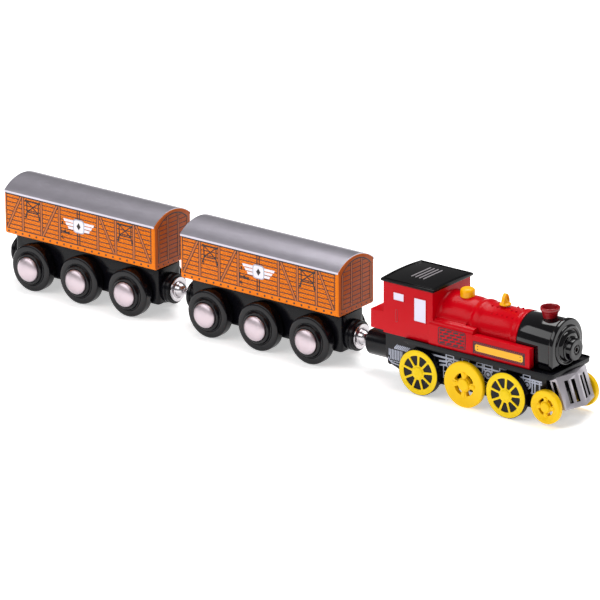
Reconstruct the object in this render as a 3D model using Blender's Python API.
"""A toy train: a battery locomotive and two covered goods wagons, joined by magnets.

+X runs along the train towards the locomotive's nose, +Z is up, and the rail surface
that the wheels stand on is Z = 0. The origin is under the middle of the whole train.
"""

from math import asin, atan2, cos, pi, radians, sin, sqrt

import bmesh
import bpy
from mathutils import Matrix, Vector

MM = 0.001

# Clearances that every fit shares
GAP = 0.3 * MM  # between two pieces that touch
RUN = 0.1 * MM  # round a shaft that turns in a hole
LONG = 1.0 * MM  # how far a cutter runs past the wall that it cuts
BITE = 1.0 * MM  # how far a shape runs into the one that it is joined to
SOFT = 0.3 * MM  # the edge rounding of the smallest mouldings
WELD = 0.001 * MM  # vertices closer than this are one

# Covered wagon: a printed block under an arched roof
BODY_LENGTH = 89.6 * MM
BODY_WIDTH = 26.0 * MM
WALL_HEIGHT = 21.1 * MM
BODY_EDGE = 1.2 * MM
ROOF_RISE = 5.0 * MM
ROOF_THICK = 0.6 * MM
EAVE_HEIGHT = 0.9 * MM
EAVE_PROUD = 0.25 * MM

# Wagon chassis, wheels and axles
CHASSIS_INSET = 2.2 * MM  # body end to chassis end
CHASSIS_WIDTH = 16.4 * MM
CHASSIS_DROP = 5.0 * MM  # axle centre to the underside
CHASSIS_EDGE = 1.5 * MM
WHEEL_RADIUS = 11.2 * MM
WHEEL_SPACING = 28.7 * MM
WHEEL_GAP = 1.2 * MM  # chassis side to wheel
BODY_CLEAR = 2.55 * MM  # wheel top to body
WHEEL_THICK = 5.0 * MM
WHEEL_EDGE = 1.1 * MM
HUB_RADIUS = 7.4 * MM
HUB_PROUD = 1.5 * MM
AXLE_RADIUS = 1.75 * MM
CAP_RADIUS = 5.85 * MM
CAP_RIM = 0.7 * MM
CAP_DOME = 1.5 * MM

# Magnetic couplings
COUPLING_HEIGHT = 13.3 * MM
COUPLING_OVERHANG = 7.3 * MM  # wagon body's end to the point where two magnets meet
HOLDER_RADIUS = 7.0 * MM
HOLDER_EDGE = 0.6 * MM
CUP_RADIUS = 5.7 * MM
CUP_THICK = 0.8 * MM
MAGNET_RADIUS = 3.4 * MM
MAGNET_HEIGHT = 4.0 * MM
STEM_RADIUS = 2.4 * MM
STEM_LENGTH = 3.0 * MM
PLUG_RADIUS = 3.0 * MM
PLUG_LENGTH = 5.0 * MM

# Locomotive places along X, from the coupling point behind it
FRAME_REAR = 18.0 * MM
FRAME_FRONT = 104.0 * MM
BOARD_REAR = 30.0 * MM
BOARD_FRONT = 108.6 * MM
BUNKER_REAR = 11.1 * MM
CAB_REAR = 18.0 * MM
CAB_FRONT = 44.6 * MM
FIREBOX_FRONT = 66.3 * MM
BOILER_FRONT = 86.8 * MM
SIDE_BOX_FRONT = 96.5 * MM
SMOKEBOX_FRONT = 106.5 * MM
DOME_X = 53.3 * MM
BELL_X = 73.4 * MM
CHIMNEY_X = 97.0 * MM
LAMP_FRONT = 111.2 * MM
DRIVE_AXLE_X = 38.4 * MM
MIDDLE_AXLE_X = 63.2 * MM
FRONT_AXLE_X = 85.2 * MM
PILOT_AXLE_X = 105.3 * MM
BATTERY_REAR = 50.5 * MM

# Locomotive frame
FRAME_WIDTH = 24.6 * MM
FRAME_WALL = 1.4 * MM
FRAME_BOTTOM = 6.2 * MM
FRAME_FLOOR = 1.2 * MM
SUMP_BOTTOM = 4.0 * MM
SUMP_WIDTH = 18.4 * MM
SUMP_LENGTH = 12.6 * MM
REAR_SLOPE = 6.5 * MM
BOARD_WIDTH = 30.6 * MM
BOARD_TOP = 24.1 * MM
BOARD_THICK = 1.6 * MM
BOARD_CORNER = 2.6 * MM
NOSE_FRONT = 106.9 * MM
NOSE_GAP = 0.5 * MM  # its side to the inside of the cowcatcher

# Locomotive shell
SHELL_WALL = 1.4 * MM
CAB_WIDTH = 28.0 * MM
CAB_TOP = 48.0 * MM
CAB_EDGE = 0.8 * MM
BUNKER_BOTTOM = 25.3 * MM
BUNKER_TOP = 33.6 * MM
FIREBOX_WIDTH = 29.2 * MM
FIREBOX_TOP = 35.6 * MM
FIREBOX_SHOULDER = 2.6 * MM
BOILER_HEIGHT = 33.8 * MM
BOILER_RADIUS = 11.3 * MM
SIDE_BOX_WIDTH = 29.0 * MM
SIDE_BOX_THICK = 3.1 * MM
SIDE_BOX_TOP = 33.5 * MM
SIDE_BOX_EDGE = 0.5 * MM
ROOF_LENGTH = 28.6 * MM
ROOF_WIDTH = 29.9 * MM
ROOF_RIM = 1.2 * MM
ROOF_CROWN = 0.8 * MM
RIB_COUNT = 4
RIB_SPACING = 2.1 * MM
RIB_LENGTH = 14.0 * MM
RIB_HEIGHT = 0.4 * MM
RIB_WIDTH = 0.6 * MM

# Smokebox, chimney, lamp and bell
SMOKEBOX_RADIUS = 11.0 * MM
RING_RADIUS = 11.6 * MM
RING_THICK = 2.4 * MM
DOOR_RADIUS = 7.6 * MM
DOOR_GROOVE = 1.6 * MM
GROOVE_DEPTH = 0.8 * MM
LAMP_HEIGHT = 32.4 * MM
LAMP_RADIUS = 4.85 * MM
LAMP_SPIGOT = 2.4 * MM
LAMP_HOLE = 1.1 * MM
LAMP_EDGE = 0.4 * MM
LAMP_DEPTH = 1.5 * MM
CHIMNEY_PROUD = 4.4 * MM
CHIMNEY_TOP_RADIUS = 4.3 * MM
CHIMNEY_BASE_RADIUS = 3.2 * MM
CHIMNEY_BORE = 3.3 * MM
CHIMNEY_SPIGOT = 2.3 * MM
CHIMNEY_LIP = 1.0 * MM
BELL_PROUD = 5.1 * MM
BELL_RADIUS = 2.2 * MM
BELL_FOOT = 2.8 * MM
BELL_RIM = 0.5 * MM
BELL_BAR = 1.1 * MM

# Push button on the boiler and the switch under it
BUTTON_RADIUS = 3.3 * MM
BUTTON_PROUD = 3.5 * MM
BUTTON_CROWN = 1.2 * MM
BUTTON_TRAVEL = 1.0 * MM
FLANGE_RADIUS = 4.0 * MM
FLANGE_THICK = 0.8 * MM
FLANGE_ROOM = 0.85 * MM  # flange to the boiler's inside
SWITCH_SIZE = 5.0 * MM
SWITCH_HEIGHT = 3.0 * MM
CIRCUIT_THICK = 1.0 * MM

# Drive
CELL_RADIUS = 5.25 * MM
CELL_LENGTH = 44.5 * MM
CELL_BUTTON = 1.9 * MM
CELL_EDGE = 0.5 * MM
MOTOR_GAP = 0.8 * MM  # motor to frame wall
MOTOR_WIDTH = 12.0 * MM
MOTOR_HEIGHT = 10.0 * MM
MOTOR_EDGE = 1.2 * MM
MOTOR_SHAFT = 0.75 * MM
GEAR_MODULE = 0.5 * MM
GEAR_TEETH = 18
PINION_TEETH = 8
GEAR_WIDTH = 2.5 * MM
GEAR_INNER = 5.2 * MM
TOOTH_TIP = 0.45 * MM
TOOTH_ROOT = 0.6 * MM
TOOTH_HALF_ROOT = 0.4 * MM
TOOTH_HALF_PITCH = 0.3 * MM
TOOTH_HALF_TIP = 0.16 * MM

# Locomotive wheels
DRIVER_RADIUS = 10.46 * MM
DRIVER_GAP = 0.5 * MM  # frame side to wheel
DRIVER_THICK = 3.5 * MM
DRIVER_RIM = 2.5 * MM
DRIVER_HUB = 3.2 * MM
SPOKES = 9
SPOKE_WIDTH = 1.1 * MM
SPOKE_DEPTH = 1.2 * MM
MIDDLE_GAP = 2.0 * MM
MIDDLE_THICK = 2.6 * MM
SLOT_INNER = 3.0 * MM
SLOT_OUTER = 5.6 * MM
PILOT_RADIUS = 7.7 * MM
PILOT_LIFT = 1.5 * MM  # the pilot wheels hang clear of the rail
PILOT_GAP = 0.3 * MM
PILOT_THICK = 2.6 * MM
PILOT_SLOT_INNER = 2.8 * MM
PILOT_SLOT_OUTER = 4.2 * MM
WHEEL_SLOTS = 4
LOCO_WHEEL_EDGE = 0.4 * MM
SLOT_ARC = 56.0  # degrees
LOCO_AXLE_RADIUS = 1.2 * MM
AXLE_IN_WHEEL = 1.9 * MM

# Locomotive coupling
LOCO_HOLDER_RADIUS = 6.5 * MM
LOCO_HOLDER_FACE = 1.9 * MM
LOCO_HOLDER_TOP = 18.6 * MM
LOCO_HOLDER_FOOT = 15.0 * MM
LOCO_HOLDER_FOOT_WIDTH = 16.0 * MM
LOCO_HOLDER_STEP = 1.0 * MM
LOCO_HOLDER_EDGE = 1.0 * MM
LOCO_MAGNET_HEIGHT = 1.6 * MM
LOCO_MAGNET_RADIUS = 2.5 * MM

# Cowcatcher: plan points of one side, at its top and at its bottom edge
COW_TOP = 22.2 * MM
COW_BOTTOM = 8.2 * MM
COW_GAP = 1.6 * MM  # its side to a pilot wheel
COW_SIDE = 4.0 * MM
COW_CORNER_X = 108.0 * MM
COW_RIDGE = 3.2 * MM
COW_RAKE = 5.2 * MM
COW_WALL = 1.3 * MM
COW_SLOTS = (3.0 * MM, 6.6 * MM)
COW_SLOT_WIDTH = 1.9 * MM
COW_SLOT_MARGIN = 2.2 * MM

# Facets round a full turn
ROUND = 20
SMALL_ROUND = 16
WHEEL_ROUND = 24
BIG_ROUND = 36

# What follows from the sizes above
WHEEL_INNER = CHASSIS_WIDTH / 2 + WHEEL_GAP
BODY_BOTTOM = 2 * WHEEL_RADIUS + BODY_CLEAR
CHASSIS_LENGTH = BODY_LENGTH - 2 * CHASSIS_INSET
CHASSIS_BOTTOM = WHEEL_RADIUS - CHASSIS_DROP
COUPLING_REACH = BODY_LENGTH / 2 + COUPLING_OVERHANG
MAGNET_TIP = GAP / 2  # each magnet stops this far short of the meeting point
TRAIN_FRONT = COW_CORNER_X + COW_RIDGE + COW_RAKE
TRAIN_REAR = -4 * COUPLING_REACH + MAGNET_TIP
COUPLING_X = -(TRAIN_FRONT + TRAIN_REAR) / 2
GEAR_RADIUS = GEAR_MODULE * GEAR_TEETH / 2
PINION_RADIUS = GEAR_MODULE * PINION_TEETH / 2
PINION_HEIGHT = DRIVER_RADIUS + GEAR_RADIUS + PINION_RADIUS
PILOT_HEIGHT = PILOT_LIFT + PILOT_RADIUS
SHELL_BOTTOM = BOARD_TOP + GAP
CAVITY_WIDTH = FRAME_WIDTH - 2 * FRAME_WALL
DRIVER_INNER = FRAME_WIDTH / 2 + DRIVER_GAP
MIDDLE_INNER = FRAME_WIDTH / 2 + MIDDLE_GAP
PILOT_INNER = FRAME_WIDTH / 2 + PILOT_GAP
COW_WIDTH = 2 * (PILOT_INNER - COW_GAP)
NOSE_WIDTH = COW_WIDTH - 2 * (COW_WALL + NOSE_GAP)
NOSE_TOP = COW_TOP - COW_WALL - GAP
BOILER_TOP = BOILER_HEIGHT + BOILER_RADIUS
BOILER_ROOM = BOILER_RADIUS - SHELL_WALL
FLANGE_TOP = BOILER_HEIGHT + sqrt(BOILER_ROOM**2 - FLANGE_RADIUS**2) - FLANGE_ROOM
BUTTON_TOP = BOILER_TOP + BUTTON_PROUD
BELL_TOP = BOILER_TOP + BELL_PROUD
SMOKEBOX_TOP = BOILER_HEIGHT + SMOKEBOX_RADIUS
CHIMNEY_TOP = SMOKEBOX_TOP + CHIMNEY_PROUD


# ---------------------------------------------------------------- tools


def clear_scene():
    for obj in list(bpy.data.objects):
        bpy.data.objects.remove(obj, do_unlink=True)


def finish(name, colour, roughness, metallic=0.0):
    """A plain material from an sRGB colour in 0 to 255."""
    made = bpy.data.materials.new(name)
    made.use_nodes = True
    shader = made.node_tree.nodes["Principled BSDF"]
    linear = [(c / 255) ** 2.2 for c in colour]
    shader.inputs["Base Color"].default_value = (*linear, 1)
    shader.inputs["Roughness"].default_value = roughness
    shader.inputs["Metallic"].default_value = metallic
    made.diffuse_color = (*linear, 1)
    return made


def empty(name, place, parent=None):
    """An empty that a group of pieces hangs from. Its place is relative to its parent."""
    made = bpy.data.objects.new(name, None)
    made.location = place
    made.parent = parent
    bpy.context.scene.collection.objects.link(made)
    return made


def to_mesh(bm, name):
    bmesh.ops.recalc_face_normals(bm, faces=bm.faces)
    mesh = bpy.data.meshes.new(name)
    bm.to_mesh(mesh)
    bm.free()
    return mesh


def turned(outline, axis, facets=ROUND):
    """Turns (radius, along) points round an axis. A ring's outline closes on itself."""
    bm = bmesh.new()
    along = Vector({"X": (1, 0, 0), "Y": (0, 1, 0), "Z": (0, 0, 1)}[axis])
    out = Vector({"X": (0, 0, 1), "Y": (0, 0, 1), "Z": (1, 0, 0)}[axis])
    points = [bm.verts.new(out * r + along * s) for r, s in outline]
    solid = outline[0][0] == 0
    pairs = list(zip(points, points[1:])) + ([] if solid else [(points[-1], points[0])])
    edges = [bm.edges.new(pair) for pair in pairs]
    bmesh.ops.spin(
        bm, geom=points + edges, cent=(0, 0, 0), axis=along, angle=2 * pi, steps=facets,
        use_merge=True,
    )
    bmesh.ops.remove_doubles(bm, verts=bm.verts, dist=WELD)
    return to_mesh(bm, "turned")


def prism(outline, start, end, axis, edge=0.0, steps=2):
    """Pushes a closed outline from start to end along an axis, with its long edges rounded.

    The outline's points are (Y, Z) along X, (X, Z) along Y and (X, Y) along Z.
    """
    bm = bmesh.new()
    place = {
        "X": lambda a, b: (start, a, b),
        "Y": lambda a, b: (a, start, b),
        "Z": lambda a, b: (a, b, start),
    }[axis]
    face = bm.faces.new([bm.verts.new(place(a, b)) for a, b in outline])
    pushed = bmesh.ops.extrude_face_region(bm, geom=[face])["geom"]
    step = {"X": (end - start, 0, 0), "Y": (0, end - start, 0), "Z": (0, 0, end - start)}
    moved = [v for v in pushed if isinstance(v, bmesh.types.BMVert)]
    bmesh.ops.translate(bm, verts=moved, vec=step[axis])
    if edge:
        bmesh.ops.bevel(
            bm, geom=list(bm.edges), offset=edge, segments=steps, affect="EDGES", profile=0.5,
        )
    return to_mesh(bm, "prism")


def block(x, y, z, edge=0.0, steps=2):
    """A box from its (low, high) extents, with every edge rounded."""
    outline = [(x[0], z[0]), (x[1], z[0]), (x[1], z[1]), (x[0], z[1])]
    return prism(outline, y[0], y[1], "Y", edge, steps)


def arc(radius, centre, start, end, steps):
    """Points on an arc, in degrees."""
    angles = [radians(start + (end - start) * i / steps) for i in range(steps + 1)]
    return [(centre[0] + radius * cos(a), centre[1] + radius * sin(a)) for a in angles]


def joined(*meshes):
    """Several meshes as one, for a cutter made of separate shapes."""
    bm = bmesh.new()
    for mesh in meshes:
        bm.from_mesh(mesh)
    return to_mesh(bm, "joined")


def moved(mesh, x=0.0, y=0.0, z=0.0):
    """The mesh shifted inside its own object."""
    mesh.transform(Matrix.Translation((x, y, z)))
    return mesh


def piece(name, mesh, material, parent, place=(0, 0, 0), turn=0.0):
    """An object of the train, round faces shaded smooth."""
    made = bpy.data.objects.new(name, mesh)
    mesh.name = name
    mesh.shade_smooth()
    mesh.set_sharp_from_angle(angle=radians(35))
    mesh.materials.append(material)
    made.location = place
    made.rotation_euler = (0, 0, turn)
    made.parent = parent
    bpy.context.scene.collection.objects.link(made)
    return made


def shape_with(target, mesh, operation, label):
    """Adds a Boolean whose other shape is a hidden helper in the target's own frame."""
    helper = bpy.data.objects.new(f"{target.name}_{label}", mesh)
    helper.parent = target
    helper.hide_render = True
    helper.display_type = "WIRE"
    bpy.context.scene.collection.objects.link(helper)
    boolean = target.modifiers.new(label, "BOOLEAN")
    boolean.operation = operation
    boolean.solver = "EXACT"
    boolean.object = helper


def cut(target, mesh, label):
    shape_with(target, mesh, "DIFFERENCE", label)


def add(target, mesh, label):
    shape_with(target, mesh, "UNION", label)


def rod(radius, start, end, axis, facets=SMALL_ROUND):
    return turned([(0, start), (radius, start), (radius, end), (0, end)], axis, facets)


def across_hole(radius, half_length, x, z):
    """A cutter for a hole that runs across the train."""
    return moved(rod(radius, -half_length, half_length, "Y"), x=x, z=z)


# ---------------------------------------------------------------- wagons


def roof_arch(half_width, rise, base, steps=14):
    """Points over an arched top, from the right-hand edge to the left-hand one."""
    radius = (half_width**2 + rise**2) / (2 * rise)
    reach = 90 - atan2(radius - rise, half_width) * 180 / pi
    return arc(radius, (0, base + rise - radius), 90 - reach, 90 + reach, steps)


def wagon_body(name, material, parent):
    """The printed block. Its top is arched to carry the roof."""
    half = BODY_WIDTH / 2
    top = BODY_BOTTOM + WALL_HEIGHT
    inside = half - ROOF_THICK
    seat = top - ROOF_THICK - GAP
    outline = [(half, BODY_BOTTOM), (half, top - EAVE_HEIGHT - GAP)]
    outline += [(inside, top - EAVE_HEIGHT - GAP)]
    outline += roof_arch(inside, ROOF_RISE, seat, 10)
    outline += [(-y, z) for y, z in reversed(outline[:3])]
    mesh = prism(outline, -BODY_LENGTH / 2, BODY_LENGTH / 2, "X")
    made = piece(name, mesh, material, parent)
    rounding = made.modifiers.new("rounded_edges", "BEVEL")
    rounding.width = BODY_EDGE
    rounding.segments = 2
    rounding.limit_method = "WEIGHT"
    weights = mesh.attributes.new("bevel_weight_edge", "FLOAT", "EDGE")
    for edge in mesh.edges:
        a, b = (mesh.vertices[i].co for i in edge.vertices)
        upright = abs(a.y) == abs(b.y) == half and a.x == b.x
        along = a.z == b.z == BODY_BOTTOM
        weights.data[edge.index].value = float(along or (upright and a.y == b.y))
    return made


def wagon_roof(name, material, parent):
    """An arched cap with a short lip down each side."""
    half = BODY_WIDTH / 2 + EAVE_PROUD
    top = BODY_BOTTOM + WALL_HEIGHT
    lip = top - EAVE_HEIGHT
    inside = BODY_WIDTH / 2 - ROOF_THICK + GAP
    outer = [(half, lip)] + roof_arch(half, ROOF_RISE, top) + [(-half, lip)]
    inner = [(inside, lip)] + roof_arch(inside, ROOF_RISE, top - ROOF_THICK) + [(-inside, lip)]
    mesh = prism(outer + inner[::-1], -BODY_LENGTH / 2, BODY_LENGTH / 2, "X")
    return piece(name, mesh, material, parent)


def wagon_chassis(name, material, parent):
    """The block under the body, drilled across for the axles and endways for the couplings."""
    end, half = CHASSIS_LENGTH / 2, CHASSIS_WIDTH / 2
    top = BODY_BOTTOM - GAP
    mesh = block((-end, end), (-half, half), (CHASSIS_BOTTOM, top), CHASSIS_EDGE)
    made = piece(name, mesh, material, parent)
    reach = half + LONG
    holes = [
        across_hole(AXLE_RADIUS + RUN, reach, i * WHEEL_SPACING, WHEEL_RADIUS)
        for i in (-1, 0, 1)
    ]
    for side in (-1, 1):
        inner, outer = side * (end - PLUG_LENGTH - GAP), side * (end + LONG)
        socket = rod(PLUG_RADIUS + RUN, min(inner, outer), max(inner, outer), "X")
        holes.append(moved(socket, z=COUPLING_HEIGHT))
    cut(made, joined(*holes), "holes")
    return made


def wagon_wheel(name, material, parent, side):
    """A thick disc with a raised ring round the axle's head. side is -1 or 1 along Y."""
    bore = AXLE_RADIUS + RUN
    inner, outer = WHEEL_INNER, WHEEL_INNER + WHEEL_THICK
    face = outer + HUB_PROUD
    recess = CAP_RADIUS + RUN
    outline = [
        (bore, inner),
        (WHEEL_RADIUS - WHEEL_EDGE, inner),
        (WHEEL_RADIUS, inner + WHEEL_EDGE),
        (WHEEL_RADIUS, outer - WHEEL_EDGE),
        (WHEEL_RADIUS - WHEEL_EDGE, outer),
        (HUB_RADIUS, outer),
        (HUB_RADIUS - WHEEL_EDGE / 2, face),
        (recess, face),
        (recess, face - HUB_PROUD / 2),
        (bore, face - HUB_PROUD / 2),
    ]
    return piece(name, turned(outline, "Y"), material, parent, turn=0.0 if side > 0 else pi)


def wagon_axle(name, material, parent):
    """A rod with a domed head at each end, outside the wheels."""
    seat = WHEEL_INNER + WHEEL_THICK + HUB_PROUD / 2 + GAP
    rim = seat + HUB_PROUD / 2 + CAP_RIM
    head = [
        (AXLE_RADIUS, seat),
        (CAP_RADIUS, seat),
        (CAP_RADIUS, rim),
        (0.8 * CAP_RADIUS, rim + 0.55 * CAP_DOME),
        (0.45 * CAP_RADIUS, rim + 0.9 * CAP_DOME),
        (0, rim + CAP_DOME),
    ]
    outline = [(r, -s) for r, s in reversed(head)] + head
    return piece(name, turned(outline, "Y", SMALL_ROUND), material, parent)


def wagon_coupling(vehicle, label, black, steel, parent, side):
    """A round holder on the chassis end, with a steel cup and a domed magnet in it."""
    end = CHASSIS_LENGTH / 2
    dome = COUPLING_REACH - MAGNET_TIP - MAGNET_HEIGHT
    face = dome - CUP_THICK - GAP
    outline = [
        (0, end - PLUG_LENGTH),
        (PLUG_RADIUS, end - PLUG_LENGTH),
        (PLUG_RADIUS, end + GAP),
        (HOLDER_RADIUS, end + GAP),
        (HOLDER_RADIUS, face - HOLDER_EDGE),
        (HOLDER_RADIUS - HOLDER_EDGE, face),
        (STEM_RADIUS + RUN, face),
        (STEM_RADIUS + RUN, face - STEM_LENGTH),
        (0, face - STEM_LENGTH),
    ]
    place = (0, 0, COUPLING_HEIGHT)
    turn = 0.0 if side > 0 else pi
    mesh = turned(outline, "X")
    piece(f"{vehicle}_{label}_coupling", mesh, black, parent, place, turn)
    stem = face - STEM_LENGTH + GAP
    magnet = [(0, stem), (STEM_RADIUS, stem), (STEM_RADIUS, face + GAP), (CUP_RADIUS, face + GAP)]
    magnet += [(CUP_RADIUS, dome)] + magnet_dome(dome, MAGNET_RADIUS, MAGNET_HEIGHT)
    mesh = turned(magnet, "X")
    piece(f"{vehicle}_{label}_magnet", mesh, steel, parent, place, turn)


def magnet_dome(base, radius, height):
    """The outline of a magnet's domed face, from its foot to its tip."""
    shape = ((1.0, 0.0), (0.95, 0.3), (0.78, 0.62), (0.45, 0.89), (0.0, 1.0))
    return [(radius * r, base + height * s) for r, s in shape]


def build_wagon(vehicle, turn_empty, looks):
    """Everything of one wagon. Its turn_empty stands on the coupling ahead of it."""
    middle = empty(f"{vehicle}_middle", (-COUPLING_REACH, 0, 0), turn_empty)
    wagon_body(f"{vehicle}_body", looks["orange"], middle)
    wagon_roof(f"{vehicle}_roof", looks["silver"], middle)
    wagon_chassis(f"{vehicle}_chassis", looks["black"], middle)
    for label, i in (("rear", -1), ("middle", 0), ("front", 1)):
        place = (i * WHEEL_SPACING, 0, WHEEL_RADIUS)
        spin = empty(f"{vehicle}_{label}_wheelset", place, middle)
        wagon_axle(f"{vehicle}_{label}_axle", looks["chrome"], spin)
        for side_name, side in (("right", -1), ("left", 1)):
            wagon_wheel(f"{vehicle}_{label}_{side_name}_wheel", looks["gloss"], spin, side)
    for label, side in (("rear", -1), ("front", 1)):
        wagon_coupling(vehicle, label, looks["black"], looks["steel"], middle, side)


# ---------------------------------------------------------------- locomotive


def loco_frame(material, parent):
    """A tub for the drive, with the running board round its top and a sump for the gear."""
    half = FRAME_WIDTH / 2
    under_board = BOARD_TOP - BOARD_THICK
    side = [
        (FRAME_REAR, under_board + BITE),
        (FRAME_REAR, FRAME_BOTTOM + REAR_SLOPE),
        (FRAME_REAR + REAR_SLOPE / 2, FRAME_BOTTOM + REAR_SLOPE / 2),
        (FRAME_REAR + 2 * REAR_SLOPE, FRAME_BOTTOM),
        (FRAME_FRONT, FRAME_BOTTOM),
        (FRAME_FRONT, under_board + BITE),
    ]
    made = piece("loco_frame", prism(side, -half, half, "Y"), material, parent)
    wide, corner = BOARD_WIDTH / 2, BOARD_CORNER
    board = [(BOARD_REAR, -wide)]
    board += arc(corner, (BOARD_FRONT - corner, corner - wide), -90, 0, 4)
    board += arc(corner, (BOARD_FRONT - corner, wide - corner), 0, 90, 4)
    board += [(BOARD_REAR, wide), (BOARD_REAR, half), (FRAME_REAR, half)]
    board += [(FRAME_REAR, -half), (BOARD_REAR, -half)]
    add(made, prism(board, under_board, BOARD_TOP, "Z"), "running_board")
    sump_x = (DRIVE_AXLE_X - SUMP_LENGTH / 2, DRIVE_AXLE_X + SUMP_LENGTH / 2)
    sump_half = SUMP_WIDTH / 2
    into_tub = FRAME_BOTTOM + FRAME_FLOOR + BITE
    add(made, block(sump_x, (-sump_half, sump_half), (SUMP_BOTTOM, into_tub)), "sump")
    nose_half = NOSE_WIDTH / 2
    nose_x = (FRAME_FRONT - LONG, NOSE_FRONT)
    add(made, block(nose_x, (-nose_half, nose_half), (FRAME_BOTTOM, NOSE_TOP)), "nose")
    floor = FRAME_BOTTOM + FRAME_FLOOR
    inner = [
        (FRAME_REAR + FRAME_WALL, BOARD_TOP + LONG),
        (FRAME_REAR + FRAME_WALL, floor + REAR_SLOPE),
        (FRAME_REAR + 2 * REAR_SLOPE, floor),
        (FRAME_FRONT - 2 * FRAME_WALL, floor),
        (FRAME_FRONT - 2 * FRAME_WALL, BOARD_TOP + LONG),
    ]
    hollow = prism(inner, -CAVITY_WIDTH / 2, CAVITY_WIDTH / 2, "Y")
    cut(made, hollow, "hollow")
    well_x = (sump_x[0] + FRAME_FLOOR, sump_x[1] - FRAME_FLOOR)
    well_half = sump_half - FRAME_FLOOR
    well = block(well_x, (-well_half, well_half), (SUMP_BOTTOM + FRAME_FLOOR, floor + BITE))
    cut(made, well, "gear_well")
    reach = half + LONG
    bore = LOCO_AXLE_RADIUS + RUN
    places = [(x, DRIVER_RADIUS) for x in (DRIVE_AXLE_X, MIDDLE_AXLE_X, FRONT_AXLE_X)]
    places.append((PILOT_AXLE_X, PILOT_HEIGHT))
    cut(made, joined(*[across_hole(bore, reach, x, z) for x, z in places]), "axle_bores")


def tombstone(radius, half_width, base, steps):
    """A half round on upright sides, standing on base."""
    reach = asin(min(1.0, half_width / radius)) * 180 / pi
    over = arc(radius, (0, BOILER_HEIGHT), 90 - reach, 90 + reach, steps)
    return [(half_width, base)] + over + [(-half_width, base)]


def loco_body(material, parent):
    """The red shell: bunker, cab, firebox, boiler and side boxes, hollow from below."""
    half = CAB_WIDTH / 2
    cab = block((CAB_REAR, CAB_FRONT), (-half, half), (SHELL_BOTTOM, CAB_TOP), CAB_EDGE)
    made = piece("loco_body", cab, material, parent)
    bunker_x = (BUNKER_REAR, CAB_REAR + BITE)
    bunker = block(bunker_x, (-half, half), (BUNKER_BOTTOM, BUNKER_TOP), CAB_EDGE)
    add(made, bunker, "bunker")
    wide, shoulder = FIREBOX_WIDTH / 2, FIREBOX_SHOULDER
    firebox = [(wide, SHELL_BOTTOM)]
    firebox += arc(shoulder, (wide - shoulder, FIREBOX_TOP - shoulder), 0, 90, 4)
    firebox += [(-y, z) for y, z in reversed(firebox)]
    add(made, prism(firebox, CAB_FRONT - LONG, FIREBOX_FRONT, "X"), "firebox")
    boiler = tombstone(BOILER_RADIUS, BOILER_RADIUS, SHELL_BOTTOM, BIG_ROUND // 2)
    add(made, prism(boiler, CAB_FRONT - LONG, BOILER_FRONT, "X"), "boiler")
    outer, inner = SIDE_BOX_WIDTH / 2, SIDE_BOX_WIDTH / 2 - SIDE_BOX_THICK
    for label, side in (("right", -1), ("left", 1)):
        rows = sorted((side * outer, side * inner))
        rear = FIREBOX_FRONT - LONG
        box = block((rear, SIDE_BOX_FRONT), rows, (SHELL_BOTTOM, SIDE_BOX_TOP), SIDE_BOX_EDGE, 1)
        add(made, box, f"{label}_side_box")
        touch = sorted((side * (inner + BITE), side * (BOILER_RADIUS - BITE)))
        web = block((rear, BOILER_FRONT - BITE), touch, (SHELL_BOTTOM, SIDE_BOX_TOP - BITE))
        add(made, web, f"{label}_web")
    below = SHELL_BOTTOM - LONG
    bore = tombstone(BOILER_ROOM, BOILER_ROOM, below, 14)
    cut(made, prism(bore, CAB_FRONT - 2 * SHELL_WALL, BOILER_FRONT - SHELL_WALL, "X"), "boiler_room")
    inside = half - SHELL_WALL
    cab_x = (CAB_REAR + SHELL_WALL, CAB_FRONT - SHELL_WALL)
    cut(made, block(cab_x, (-inside, inside), (below, CAB_TOP - SHELL_WALL)), "cab_room")
    hole = rod(BUTTON_RADIUS + RUN, FLANGE_TOP, CAB_TOP, "Z", ROUND)
    cut(made, moved(hole, x=DOME_X), "button_hole")


def loco_cab_roof(material, parent):
    """A plate with a rim, arched across and ribbed in the middle."""
    half = ROOF_WIDTH / 2
    low = CAB_TOP + GAP
    rim = low + ROOF_RIM
    outline = [(half, low)] + roof_arch(half, ROOF_CROWN, rim, 10) + [(-half, low)]
    middle = (CAB_REAR + CAB_FRONT) / 2
    start, end = middle - ROOF_LENGTH / 2, middle + ROOF_LENGTH / 2
    made = piece("loco_cab_roof", prism(outline, start, end, "X"), material, parent)
    crown = rim + ROOF_CROWN
    ribs = []
    for i in range(RIB_COUNT):
        x = middle + (i - (RIB_COUNT - 1) / 2) * RIB_SPACING
        wide = (x - RIB_WIDTH / 2, x + RIB_WIDTH / 2)
        long = (-RIB_LENGTH / 2, RIB_LENGTH / 2)
        ribs.append(block(wide, long, (rim, crown + RIB_HEIGHT)))
    add(made, joined(*ribs), "ribs")


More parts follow.
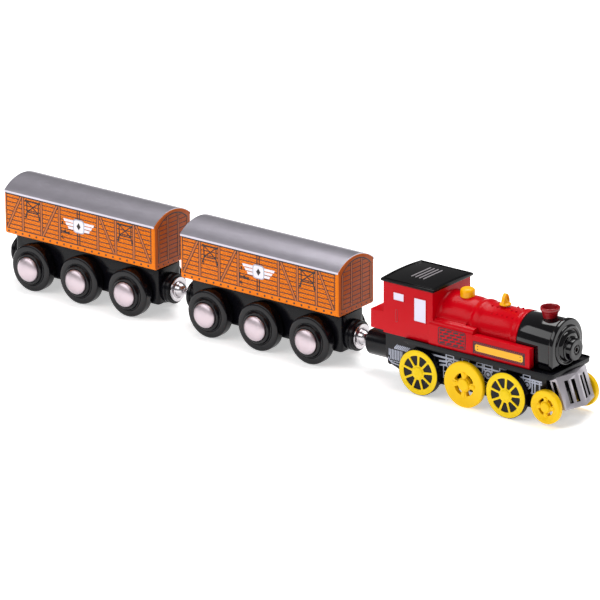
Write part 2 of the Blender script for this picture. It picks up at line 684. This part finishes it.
def loco_smokebox(material, parent):
    """The black front of the boiler, hollow behind its ring and door."""
    rear = BOILER_FRONT + GAP
    front = SMOKEBOX_FRONT
    sides = tombstone(SMOKEBOX_RADIUS, SMOKEBOX_RADIUS, SHELL_BOTTOM, BIG_ROUND // 2)
    mesh = prism(sides, rear, front - RING_THICK / 2, "X")
    made = piece("loco_smokebox", mesh, material, parent)
    ring = tombstone(RING_RADIUS, RING_RADIUS, SHELL_BOTTOM, BIG_ROUND // 2)
    add(made, prism(ring, front - RING_THICK, front, "X"), "front_ring")
    outer, inner = DOOR_RADIUS + DOOR_GROOVE, DOOR_RADIUS
    groove = [
        (inner, front - GROOVE_DEPTH),
        (outer, front - GROOVE_DEPTH),
        (outer, front + LONG),
        (inner, front + LONG),
    ]
    cut(made, moved(turned(groove, "X"), z=BOILER_HEIGHT), "door_groove")
    room = SMOKEBOX_RADIUS - SHELL_WALL
    hollow = tombstone(room, room, SHELL_BOTTOM - LONG, 14)
    cut(made, prism(hollow, rear - LONG, front - 2 * RING_THICK, "X"), "hollow")
    lamp = rod(LAMP_SPIGOT + RUN, front - RING_THICK, front + LONG, "X")
    cut(made, moved(lamp, z=LAMP_HEIGHT), "lamp_socket")
    top = BOILER_HEIGHT + SMOKEBOX_RADIUS
    seat = rod(CHIMNEY_SPIGOT + RUN, BOILER_HEIGHT + room - LONG, top + LONG, "Z")
    cut(made, moved(seat, x=CHIMNEY_X), "chimney_socket")


def loco_chimney(material, parent):
    """A flared stack on a spigot. Its foot clears the round of the smokebox."""
    foot = SMOKEBOX_TOP + GAP
    outline = [
        (0, SMOKEBOX_TOP - SHELL_WALL),
        (CHIMNEY_SPIGOT, SMOKEBOX_TOP - SHELL_WALL),
        (CHIMNEY_SPIGOT, foot),
        (CHIMNEY_BASE_RADIUS, foot),
        (CHIMNEY_TOP_RADIUS, CHIMNEY_TOP - CHIMNEY_LIP),
        (CHIMNEY_TOP_RADIUS, CHIMNEY_TOP - SOFT),
        (CHIMNEY_TOP_RADIUS - SOFT, CHIMNEY_TOP),
        (CHIMNEY_BORE, CHIMNEY_TOP),
        (0.6 * CHIMNEY_BORE, foot + BITE),
        (0, foot + BITE),
    ]
    place = (CHIMNEY_X, 0, 0)
    piece("loco_chimney", turned(outline, "Z"), material, parent, place)


def loco_button(material, parent):
    """The dome on the boiler, which is the push button for the motor."""
    travel = empty("loco_button_travel", (DOME_X, 0, 0), parent)
    low = FLANGE_TOP - FLANGE_THICK
    stem = low - (FLANGE_THICK / 2)
    outline = [
        (0, stem),
        (BUTTON_RADIUS / 2, stem),
        (BUTTON_RADIUS / 2, low),
        (FLANGE_RADIUS, low),
        (FLANGE_RADIUS, FLANGE_TOP),
        (BUTTON_RADIUS, FLANGE_TOP),
        (BUTTON_RADIUS, BUTTON_TOP - BUTTON_CROWN),
        (0.85 * BUTTON_RADIUS, BUTTON_TOP - 0.42 * BUTTON_CROWN),
        (0.5 * BUTTON_RADIUS, BUTTON_TOP - 0.1 * BUTTON_CROWN),
        (0, BUTTON_TOP),
    ]
    piece("loco_dome_button", turned(outline, "Z"), material, travel)
    return stem


def loco_switch(material, parent, stem):
    """A circuit board across the boiler with the push switch on its top edge."""
    wide = BOILER_ROOM - GAP
    top = stem - BUTTON_TRAVEL - GAP
    board_top = top - SWITCH_HEIGHT
    thick = CIRCUIT_THICK / 2
    half_board = min(wide, sqrt(wide**2 - (board_top - BOILER_HEIGHT) ** 2) - GAP)
    board = block((-thick, thick), (-half_board, half_board), (SHELL_BOTTOM, board_top))
    place = (DOME_X, 0, 0)
    made = piece("loco_switch_board", board, material, parent, place)
    half = SWITCH_SIZE / 2
    switch = block((-half, half), (-half, half), (board_top - BITE, top), SOFT, 1)
    add(made, switch, "switch")


def loco_bell(material, parent):
    """A bell hung under a hoop on a round foot."""
    foot = BOILER_TOP + GAP
    hang = foot + 2 * BELL_RIM
    rise = BELL_TOP - foot
    outline = [
        (0, foot),
        (BELL_FOOT, foot),
        (BELL_FOOT, foot + BELL_RIM),
        (0.55 * BELL_RADIUS, hang),
        (BELL_RADIUS, hang + 0.12 * rise),
        (0.72 * BELL_RADIUS, hang + 0.35 * rise),
        (0.55 * BELL_RADIUS, hang + 0.62 * rise),
        (0.28 * BELL_RADIUS, hang + 0.75 * rise),
        (0, hang + 0.77 * rise),
    ]
    place = (BELL_X, 0, 0)
    made = piece("loco_bell", turned(outline, "Z", SMALL_ROUND), material, parent, place)
    bar = BELL_BAR / 2
    spread = BELL_RADIUS - bar
    spring = BELL_TOP - spread - 2 * bar
    outer = [(spread + bar, foot + SOFT)] + arc(spread + 2 * bar, (0, spring), 0, 180, 8)
    outer += [(-spread - bar, foot + SOFT)]
    inner = [(spread - bar / 2, foot + SOFT)] + arc(spread, (0, spring), 0, 180, 8)
    inner += [(-spread + bar / 2, foot + SOFT)]
    add(made, prism(outer + inner[::-1], -bar, bar, "X"), "hoop")


def loco_headlamp(material, parent):
    """A lamp barrel on the smokebox door with a dished face."""
    back = SMOKEBOX_FRONT + GAP
    spigot = SMOKEBOX_FRONT - RING_THICK + GAP
    outline = [
        (0, spigot),
        (LAMP_SPIGOT, spigot),
        (LAMP_SPIGOT, back),
        (LAMP_RADIUS, back),
        (LAMP_RADIUS, LAMP_FRONT - LAMP_EDGE),
        (LAMP_RADIUS - LAMP_EDGE, LAMP_FRONT),
        (LAMP_HOLE, LAMP_FRONT),
        (LAMP_HOLE, LAMP_FRONT - LAMP_DEPTH),
        (0, LAMP_FRONT - LAMP_DEPTH),
    ]
    place = (0, 0, LAMP_HEIGHT)
    piece("loco_headlamp", turned(outline, "X"), material, parent, place)


def cow_level(z, inset, rear):
    """Plan points of the cowcatcher's wedge at one height, inset from its outer face."""
    down = (COW_TOP - z) / (COW_TOP - COW_BOTTOM)
    corner = COW_CORNER_X + down * COW_RAKE
    half = COW_WIDTH / 2 - inset
    ridge = corner + COW_RIDGE - inset
    back = corner - COW_SIDE - rear
    slant = inset * COW_RIDGE / half
    front = corner - inset + slant
    return [(back, -half), (front, -half), (ridge, 0), (front, half), (back, half)]


def wedge(top, bottom, inset, rear):
    """A solid between two levels of the cowcatcher."""
    bm = bmesh.new()
    rings = []
    for z in (bottom, top):
        rings.append([bm.verts.new((x, y, z)) for x, y in cow_level(z, inset, rear)])
    low, high = rings
    bm.faces.new(low)
    bm.faces.new(high)
    for i in range(len(low)):
        j = (i + 1) % len(low)
        bm.faces.new((low[i], low[j], high[j], high[i]))
    return to_mesh(bm, "wedge")


def loco_cowcatcher(material, parent):
    """A raked plough: a hollow wedge open behind and below, with upright slots."""
    mesh = wedge(COW_TOP, COW_BOTTOM, 0.0, 0.0)
    made = piece("loco_cowcatcher", mesh, material, parent)
    cut(made, wedge(COW_TOP - COW_WALL, COW_BOTTOM - LONG, COW_WALL, LONG), "hollow")
    high, low = COW_TOP - COW_SLOT_MARGIN, COW_BOTTOM + COW_SLOT_MARGIN
    slots = []
    for y in [side * place for place in COW_SLOTS for side in (-1, 1)]:
        rows = (y - COW_SLOT_WIDTH / 2, y + COW_SLOT_WIDTH / 2)
        behind = COW_CORNER_X - COW_SIDE + COW_RAKE
        slots.append(block((behind, TRAIN_FRONT + LONG), rows, (low, high)))
    cut(made, joined(*slots), "front_slots")
    rake = COW_RAKE / (COW_TOP - COW_BOTTOM)
    mid = COW_CORNER_X - COW_SIDE / 2
    wide = COW_SLOT_WIDTH / 2
    side_slot = [
        (mid - wide + (COW_TOP - high) * rake, high),
        (mid + wide + (COW_TOP - high) * rake, high),
        (mid + wide + (COW_TOP - low) * rake, low),
        (mid - wide + (COW_TOP - low) * rake, low),
    ]
    reach = COW_WIDTH / 2 + LONG
    cut(made, prism(side_slot, -reach, reach, "Y"), "side_slots")


def loco_battery(material, parent):
    """One cell lying along the frame, over the middle and front axles."""
    height = DRIVER_RADIUS + LOCO_AXLE_RADIUS + GAP + CELL_RADIUS
    edge = CELL_EDGE
    body = CELL_LENGTH - CELL_BUTTON
    outline = [
        (0, 0),
        (CELL_RADIUS - edge, 0),
        (CELL_RADIUS, edge),
        (CELL_RADIUS, body - edge),
        (CELL_RADIUS - edge, body),
        (0.36 * CELL_RADIUS, body),
        (0.36 * CELL_RADIUS, CELL_LENGTH),
        (0, CELL_LENGTH),
    ]
    place = (BATTERY_REAR, 0, height)
    piece("loco_battery", turned(outline, "X"), material, parent, place)


def gear_outline(teeth):
    """One straight-flanked tooth repeated round the pitch circle, as (X, Z) points."""
    radius = GEAR_MODULE * teeth / 2
    flank = (
        (radius - TOOTH_ROOT, TOOTH_HALF_ROOT),
        (radius, TOOTH_HALF_PITCH),
        (radius + TOOTH_TIP, TOOTH_HALF_TIP),
    )
    points = []
    for i in range(teeth):
        middle = 2 * pi * i / teeth
        for r, half in flank:
            points.append((r, middle - half / r))
        for r, half in reversed(flank):
            points.append((r, middle + half / r))
    return [(r * cos(a), r * sin(a)) for r, a in points]


def loco_drive(looks, parent):
    """The motor with its pinion, over the geared axle."""
    room = GEAR_INNER - GAP
    ends = (MOTOR_GAP - CAVITY_WIDTH / 2, room)
    half_wide, half_high = MOTOR_WIDTH / 2, MOTOR_HEIGHT / 2
    can = block((-half_wide, half_wide), ends, (-half_high, half_high), MOTOR_EDGE, 2)
    place = (DRIVE_AXLE_X, 0, PINION_HEIGHT)
    motor = piece("loco_motor", can, looks["steel"], parent, place)
    shaft_end = GEAR_INNER + GEAR_WIDTH + GAP
    add(motor, rod(MOTOR_SHAFT, room - BITE, shaft_end, "Y"), "shaft")
    spin = empty("loco_pinion_spin", place, parent)
    wide = (GEAR_INNER, GEAR_INNER + GEAR_WIDTH)
    mesh = prism(gear_outline(PINION_TEETH), *wide, "Y")
    pinion = piece("loco_pinion", mesh, looks["brass"], spin)
    hole = rod(MOTOR_SHAFT + RUN, wide[0] - LONG, wide[1] + LONG, "Y")
    cut(pinion, hole, "shaft_hole")


def loco_wheel(name, material, parent, side, radius, inner, thick):
    """A wheel blank with a blind hole for its axle, drawn for the left-hand side."""
    bore = LOCO_AXLE_RADIUS + RUN
    outer = inner + thick
    depth = inner + AXLE_IN_WHEEL + GAP
    edge = LOCO_WHEEL_EDGE
    outline = [
        (0, depth),
        (bore, depth),
        (bore, inner),
        (radius - edge, inner),
        (radius, inner + edge),
        (radius, outer - edge),
        (radius - edge, outer),
        (0, outer),
    ]
    turn = 0.0 if side > 0 else pi
    return piece(name, turned(outline, "Y", WHEEL_ROUND), material, parent, turn=turn)


def ring_sector(inner, outer, middle, half_inner, half_outer, steps):
    """Points round a piece of a ring, as (X, Z), angles in degrees."""
    points = arc(outer, (0, 0), middle - half_outer, middle + half_outer, steps)
    return points + arc(inner, (0, 0), middle + half_inner, middle - half_inner, steps)


def spoked_wheel(name, material, parent, side):
    """A driving wheel: pockets between the spokes, sunk into its outer face."""
    wheel = loco_wheel(name, material, parent, side, DRIVER_RADIUS, DRIVER_INNER, DRIVER_THICK)
    face = DRIVER_INNER + DRIVER_THICK
    outer, inner = DRIVER_RADIUS - DRIVER_RIM, DRIVER_HUB
    pockets = []
    for i in range(SPOKES):
        middle = 90 + (i + 0.5) * 360 / SPOKES
        half = 180 / SPOKES
        half_out = half - asin(SPOKE_WIDTH / 2 / outer) * 180 / pi
        half_in = half - asin(SPOKE_WIDTH / 2 / inner) * 180 / pi
        sector = ring_sector(inner, outer, middle, half_in, half_out, 2)
        pockets.append(prism(sector, face - SPOKE_DEPTH, face + LONG, "Y"))
    cut(wheel, joined(*pockets), "pockets")


def slotted_wheel(name, material, parent, side, radius, inner, thick, slot):
    """A plain wheel with four curved slots round its hub."""
    wheel = loco_wheel(name, material, parent, side, radius, inner, thick)
    slots = []
    for i in range(WHEEL_SLOTS):
        middle = 45 + i * 360 / WHEEL_SLOTS
        sector = ring_sector(*slot, middle, SLOT_ARC / 2, SLOT_ARC / 2, 3)
        slots.append(prism(sector, inner - LONG, inner + thick + LONG, "Y"))
    cut(wheel, joined(*slots), "slots")


def loco_wheelsets(looks, parent):
    """Four axles with their wheels. The rear one carries the gear."""
    rows = (
        ("drive", DRIVE_AXLE_X, DRIVER_RADIUS, DRIVER_INNER),
        ("middle", MIDDLE_AXLE_X, DRIVER_RADIUS, MIDDLE_INNER),
        ("front", FRONT_AXLE_X, DRIVER_RADIUS, DRIVER_INNER),
        ("pilot", PILOT_AXLE_X, PILOT_HEIGHT, PILOT_INNER),
    )
    for label, x, height, inner in rows:
        spin = empty(f"loco_{label}_wheelset", (x, 0, height), parent)
        end = inner + AXLE_IN_WHEEL
        shaft = rod(LOCO_AXLE_RADIUS, -end, end, "Y")
        piece(f"loco_{label}_axle", shaft, looks["steel"], spin)
        for side_name, side in (("right", -1), ("left", 1)):
            name = f"loco_{label}_{side_name}_wheel"
            if label in ("drive", "front"):
                spoked_wheel(name, looks["yellow"], spin, side)
            elif label == "middle":
                slot = (SLOT_INNER, SLOT_OUTER)
                slotted_wheel(
                    name, looks["amber"], spin, side, DRIVER_RADIUS, MIDDLE_INNER, MIDDLE_THICK, slot
                )
            else:
                slot = (PILOT_SLOT_INNER, PILOT_SLOT_OUTER)
                slotted_wheel(
                    name, looks["amber"], spin, side, PILOT_RADIUS, PILOT_INNER, PILOT_THICK, slot
                )
        if label == "drive":
            wide = (GEAR_INNER, GEAR_INNER + GEAR_WIDTH)
            mesh = prism(gear_outline(GEAR_TEETH), *wide, "Y")
            gear = piece("loco_axle_gear", mesh, looks["white"], spin)
            hole = rod(LOCO_AXLE_RADIUS + RUN, wide[0] - LONG, wide[1] + LONG, "Y")
            cut(gear, hole, "axle_hole")


def loco_coupling(looks, parent):
    """The holder behind the cab, flat on top, with the locomotive's own magnet."""
    front = FRAME_REAR - GAP
    face = LOCO_HOLDER_FACE
    edge = HOLDER_EDGE
    bore = STEM_RADIUS + RUN
    outline = [
        (bore, face + STEM_LENGTH),
        (bore, face),
        (LOCO_HOLDER_RADIUS - edge, face),
        (LOCO_HOLDER_RADIUS, face + edge),
        (LOCO_HOLDER_RADIUS, front),
        (0, front),
    ]
    outline.insert(0, (0, face + STEM_LENGTH))
    place = (0, 0, COUPLING_HEIGHT)
    mesh = turned(outline, "X")
    made = piece("loco_coupling", mesh, looks["black"], parent, place)
    wide = LOCO_HOLDER_FOOT_WIDTH / 2
    tall = LOCO_HOLDER_TOP + LOCO_HOLDER_STEP - COUPLING_HEIGHT
    foot = block((LOCO_HOLDER_FOOT, front), (-wide, wide), (-LOCO_HOLDER_RADIUS, tall), LOCO_HOLDER_EDGE, 1)
    add(made, foot, "foot")
    flat = LOCO_HOLDER_TOP - COUPLING_HEIGHT
    reach = LOCO_HOLDER_RADIUS + LONG
    slice_x = (face - LONG, LOCO_HOLDER_FOOT)
    cut(made, block(slice_x, (-reach, reach), (flat, 2 * LOCO_HOLDER_RADIUS)), "flat_top")
    base = MAGNET_TIP + LOCO_MAGNET_HEIGHT
    dome = magnet_dome(base, LOCO_MAGNET_RADIUS, LOCO_MAGNET_HEIGHT)
    dome = [(r, 2 * base - s) for r, s in dome]
    stem = face + STEM_LENGTH - GAP
    magnet = dome[::-1] + [(STEM_RADIUS, base), (STEM_RADIUS, stem), (0, stem)]
    piece("loco_magnet", turned(magnet, "X"), looks["steel"], parent, place)


def build_loco(looks, loco):
    loco_frame(looks["black"], loco)
    loco_body(looks["red"], loco)
    loco_cab_roof(looks["black"], loco)
    loco_smokebox(looks["gloss"], loco)
    loco_chimney(looks["dark_red"], loco)
    stem = loco_button(looks["yellow"], loco)
    loco_switch(looks["green"], loco, stem)
    loco_bell(looks["yellow"], loco)
    loco_headlamp(looks["gloss"], loco)
    loco_cowcatcher(looks["grey"], loco)
    loco_battery(looks["silver"], loco)
    loco_drive(looks, loco)
    loco_wheelsets(looks, loco)
    loco_coupling(looks, loco)


def main():
    clear_scene()
    looks = {
        "orange": finish("printed_orange", (232, 111, 22), 0.45),
        "silver": finish("silver_paint", (166, 162, 173), 0.35, 0.6),
        "black": finish("black_plastic", (40, 38, 44), 0.45),
        "gloss": finish("gloss_black", (30, 28, 34), 0.15),
        "chrome": finish("chrome", (215, 205, 212), 0.12, 1.0),
        "steel": finish("nickel_steel", (190, 186, 190), 0.2, 1.0),
        "red": finish("red_plastic", (205, 8, 32), 0.3),
        "dark_red": finish("dark_red_plastic", (150, 29, 41), 0.35),
        "yellow": finish("yellow_plastic", (240, 205, 5), 0.35),
        "amber": finish("amber_plastic", (238, 172, 5), 0.35),
        "grey": finish("grey_plastic", (160, 155, 162), 0.4),
        "white": finish("white_plastic", (225, 225, 220), 0.4),
        "green": finish("circuit_green", (35, 95, 60), 0.4),
        "brass": finish("brass", (196, 160, 80), 0.3, 1.0),
    }
    loco = empty("loco_middle", (COUPLING_X, 0, 0))
    build_loco(looks, loco)
    front_turn = empty("front_wagon_turn", (0, 0, 0), loco)
    build_wagon("front_wagon", front_turn, looks)
    rear_turn = empty("rear_wagon_turn", (-2 * COUPLING_REACH, 0, 0), front_turn)
    build_wagon("rear_wagon", rear_turn, looks)


main()
